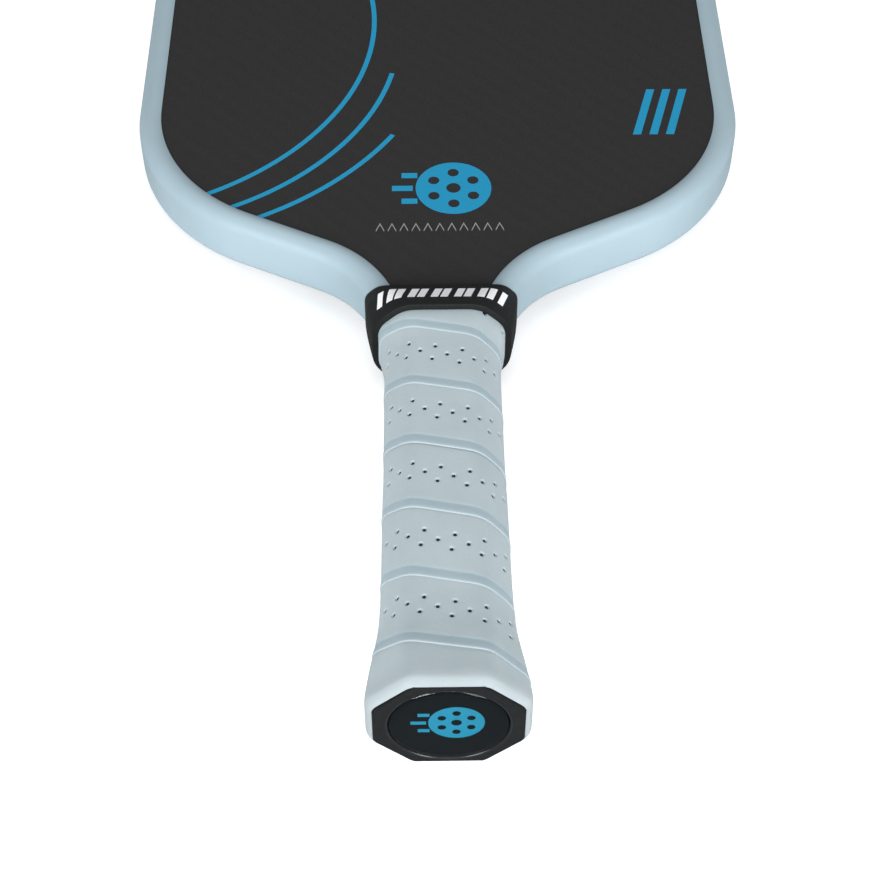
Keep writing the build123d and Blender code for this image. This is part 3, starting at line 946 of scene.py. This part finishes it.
def collar(made):
    """The band, its four rims rolled."""
    bm = bmesh.new()
    levels = [row[0] * mm for row in COLLAR]
    loops = [octagon_loop(bm, y, collar_outside(y)) for y in levels]
    loops += [octagon_loop(bm, y, collar_inside(y)) for y in reversed(levels)]
    bridge(bm, loops, closed=True)
    rims = [edge for loop in (loops[0], loops[3], loops[4], loops[7]) for edge in loop_edges(loop)]
    bmesh.ops.bevel(
        bm, geom=rims, offset=COLLAR_ROLL, segments=3, profile=0.5, affect="EDGES", material=-1
    )
    bmesh.ops.recalc_face_normals(bm, faces=bm.faces)
    band = piece("collar_band", bm, made, smooth=True)
    rounding = band.modifiers.new("rounding", "SUBSURF")
    rounding.levels = rounding.render_levels = 1
    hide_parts("collar")


def collar_bars(made):
    """White slanted bars in pairs, pad-printed across the front of the collar."""
    bm = bmesh.new()
    for i in range(MARK_COUNT):
        partner = 1 - 2 * (i % 2)
        side = 0.5 * MARK_PITCH * (i - (MARK_COUNT - 1) / 2) - MARK_PAIRING * partner
        grid = bmesh.ops.create_grid(bm, x_segments=3, y_segments=8, size=0.5)["verts"]
        for vert in grid:
            u, v = vert.co.x, vert.co.y
            way = side + u * MARK_WIDTH + v * MARK_SLANT
            vert.co = (-way, MARK_MIDDLE + v * MARK_HEIGHT, 0)
    lifted = bmesh.ops.extrude_face_region(bm, geom=bm.faces[:])["geom"]
    for vert in lifted:
        if isinstance(vert, bmesh.types.BMVert):
            vert.co.z = INK
    for vert in bm.verts:
        wrap_vert(vert, COLLAR_GIRTH, collar_outside, bar_top, INK)
    bmesh.ops.recalc_face_normals(bm, faces=bm.faces)
    bars_piece = piece("collar_bars", bm, made)


def bar_top(y):
    """The octagon that the bars' tops follow."""
    return grown(collar_outside(y), 2 * INK)


finish_film = finish("finish_film", paint(30, 31, 33), 0.35)
film_grain = speckle(finish_film, 1200)
colour_by(finish_film, between(finish_film, film_grain, paint(26, 27, 29), paint(34, 35, 37)))
relief(finish_film, film_grain, 0.01 * mm)
dress("finishing_tape", finish_film)

collar_rubber = finish("collar_rubber", paint(26, 28, 28), 0.5, Specular_IOR_Level=0.25)
rubber_grain = speckle(collar_rubber, 2200, 4.0)
colour_by(collar_rubber, between(collar_rubber, rubber_grain, paint(24, 26, 26), paint(29, 31, 31)))
relief(collar_rubber, rubber_grain, 0.02 * mm)
roughness_by(collar_rubber, speckle(collar_rubber, 400), 0.44, 0.58)
collar(collar_rubber)
white_ink = ink("white_ink", paint(246, 248, 250), 0.45)
collar_bars(white_ink)

# ---------------------------------------------------------------------------------------------
# Floor, lights and camera. The paddle lies on its back on a pale floor, resting on the collar
# and the tip of the head. Two large boxes light it from the butt's side, one from above, and a
# narrow one picks out the badge's rim. The floor glows a little, as a lit table does.
floor_bm = bmesh.new()
bmesh.ops.create_grid(floor_bm, x_segments=1, y_segments=1, size=3.0)
guard_low, guard_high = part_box("edge_guard")
collar_low, collar_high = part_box("collar")
rise = (guard_low.z - collar_low.z) / (guard_high.y - collar_low.y)
for vert in floor_bm.verts:
    vert.co.z = collar_low.z + rise * (vert.co.y - collar_low.y) - 0.05 * mm
floor_mesh = bpy.data.meshes.new("floor")
floor_bm.to_mesh(floor_mesh)
floor_bm.free()
floor = bpy.data.objects.new("floor", floor_mesh)
bpy.context.scene.collection.objects.link(floor)
floor_paint = finish(
    "floor_paint", paint(240, 241, 242), 0.7, Emission_Color=(1, 1, 1, 1), Emission_Strength=0.4
)
floor_grain = speckle(floor_paint, 30)
colour_by(floor_paint, between(floor_paint, floor_grain, paint(239, 240, 241), paint(242, 243, 244)))
floor_mesh.materials.append(floor_paint)
floor.visible_glossy = False


def softbox(name, place, target, width, height, power):
    """An area light turned to a target."""
    lamp = bpy.data.lights.new(name, "AREA")
    lamp.shape = "RECTANGLE"
    lamp.size = width
    lamp.size_y = height
    lamp.energy = power
    holder = bpy.data.objects.new(name, lamp)
    holder.location = place
    holder.rotation_euler = (Vector(target) - Vector(place)).to_track_quat("-Z", "Y").to_euler()
    bpy.context.scene.collection.objects.link(holder)


for side in (-1, 1):
    softbox("front_box", (side * 0.95, -1.25, 0.6), (0, 0.1, 0), 0.7, 0.9, 21)
softbox("top_box", (0, 0.3, 1.6), (0, 0.2, 0), 1.6, 1.2, 7.2)
softbox("rim_box", (0, -1.0, 1.0), (0, 0, 0), 0.5, 0.2, 2)

world = bpy.data.worlds.new("studio")
world.use_nodes = True
tree = world.node_tree
background = tree.nodes["Background"]
background.inputs["Color"].default_value = (1, 1, 1, 1)
glossy = tree.nodes.new("ShaderNodeLightPath").outputs["Is Glossy Ray"]
dimmed = tree.nodes.new("ShaderNodeMapRange")
dimmed.inputs["To Min"].default_value = 0.4
dimmed.inputs["To Max"].default_value = 0.2
tree.links.new(glossy, dimmed.inputs["Value"])
tree.links.new(dimmed.outputs["Result"], background.inputs["Strength"])
bpy.context.scene.world = world
bpy.context.scene.view_settings.view_transform = "Standard"

CAMERA_PLACE = Vector((-5.25 * mm, -254.1 * mm, 407.1 * mm))
lens = bpy.data.cameras.new("camera")
lens.lens = 79.24
lens.clip_start = 0.01
camera = bpy.data.objects.new("camera", lens)
aim = (
    Matrix.Rotation(radians(-0.59), 3, "Z")
    @ Matrix.Rotation(radians(90 - 49.49), 3, "X")
    @ Matrix.Rotation(radians(-0.15), 3, "Z")
)
camera.location = CAMERA_PLACE
camera.rotation_euler = aim.to_euler()
bpy.context.scene.collection.objects.link(camera)
bpy.context.scene.camera = camera
